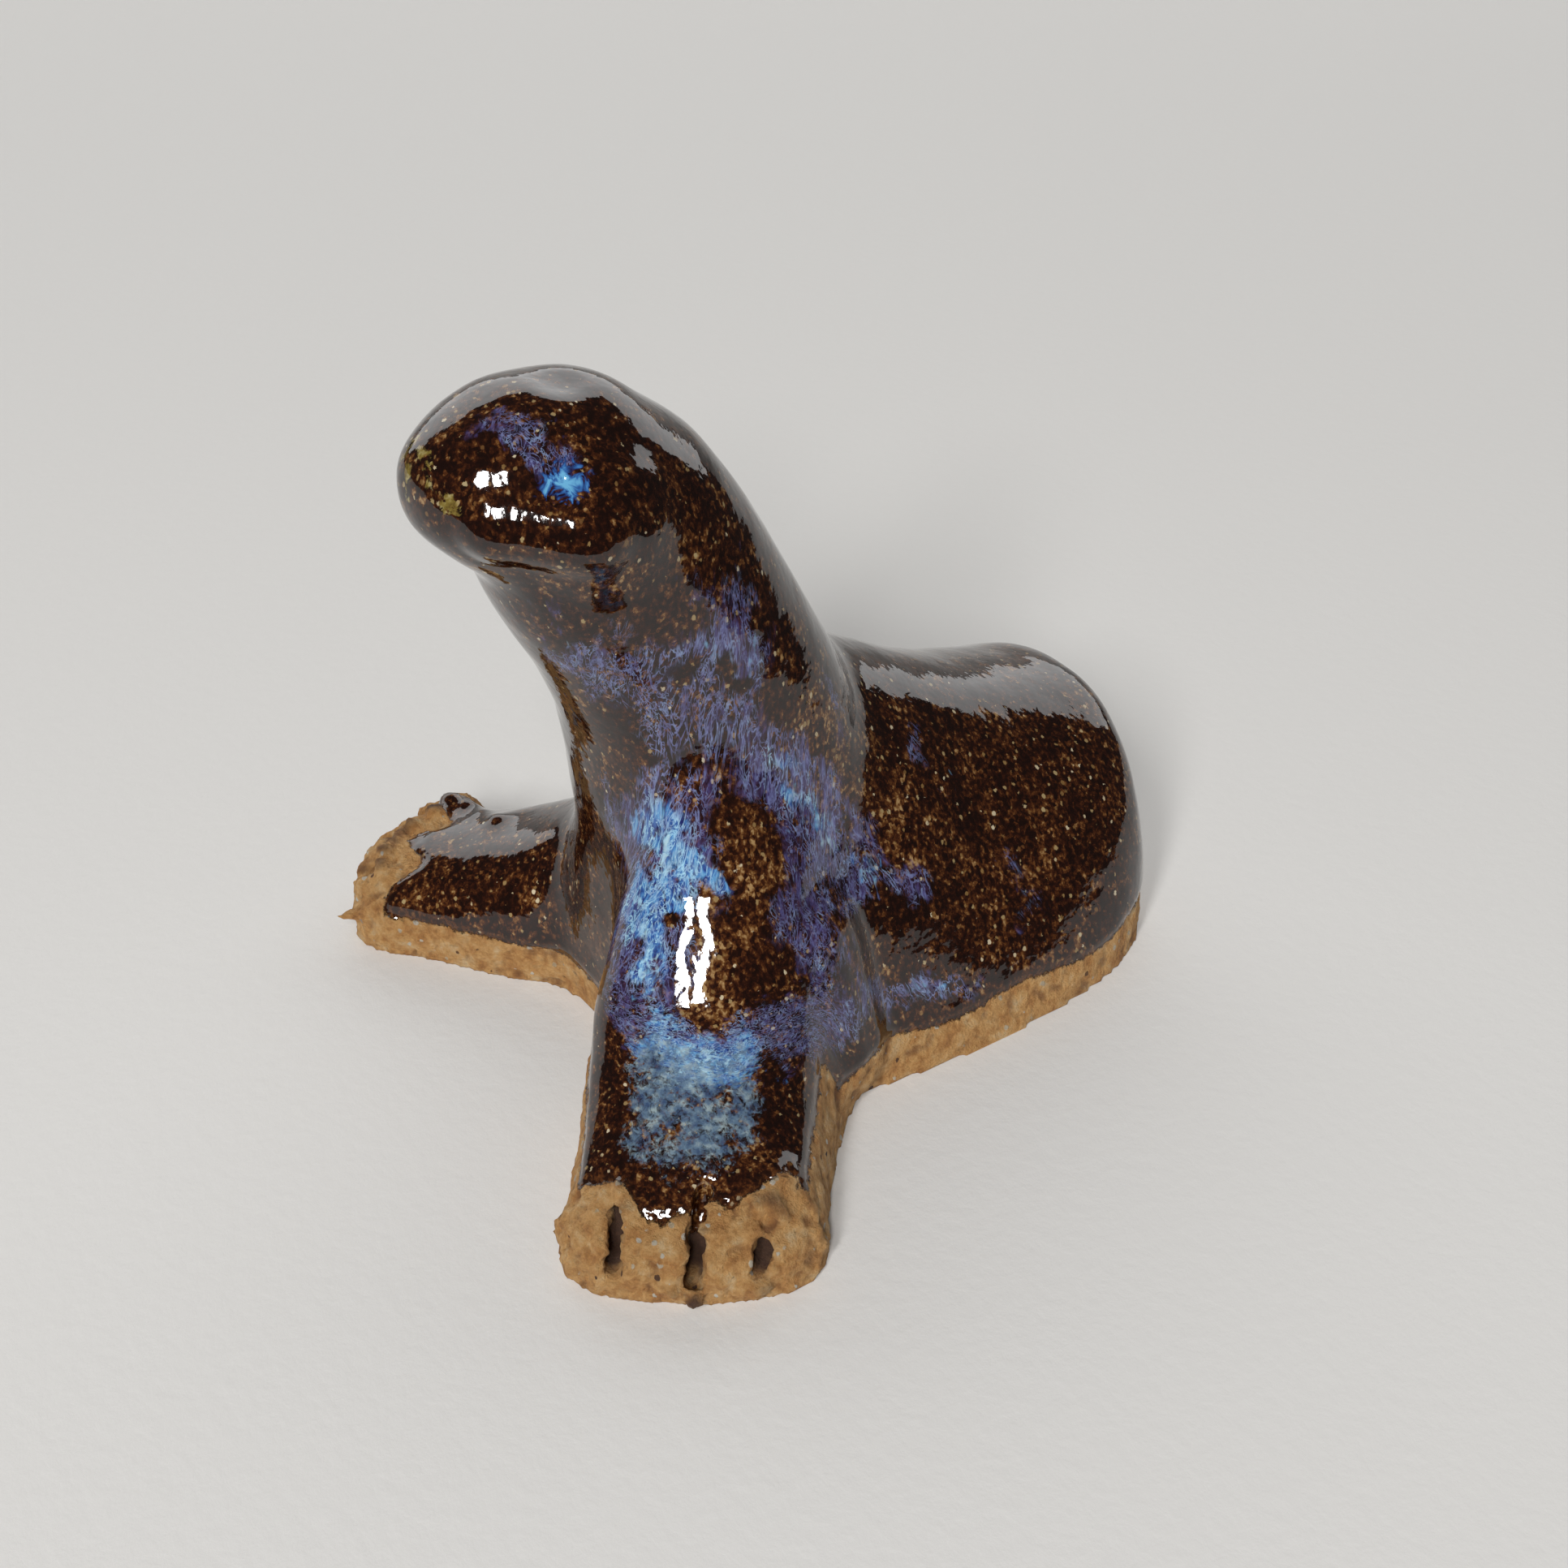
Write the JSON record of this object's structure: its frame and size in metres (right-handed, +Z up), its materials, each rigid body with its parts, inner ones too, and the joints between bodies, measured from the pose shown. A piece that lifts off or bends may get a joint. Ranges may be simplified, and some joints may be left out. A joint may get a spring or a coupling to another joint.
{
  "type": "seal figurine",
  "caption": "Small glazed stoneware seal with a raised head, low round body, splayed front flippers and a flat base.",
  "frame": {"origin": "on the flat base, under the body, on the seal's middle plane", "axes": "+Z up; the seal faces -Y; +X is the seal's left side"},
  "size_m": [0.0641, 0.0654, 0.0583],
  "materials": {
    "glaze": "glossy dark brown glaze broken with blue and violet streaks, bare orange stoneware at the toes and the rim of the base"
  },
  "bodies": {
    "root": {"seal": "glaze"}
  },
  "joints": []
}
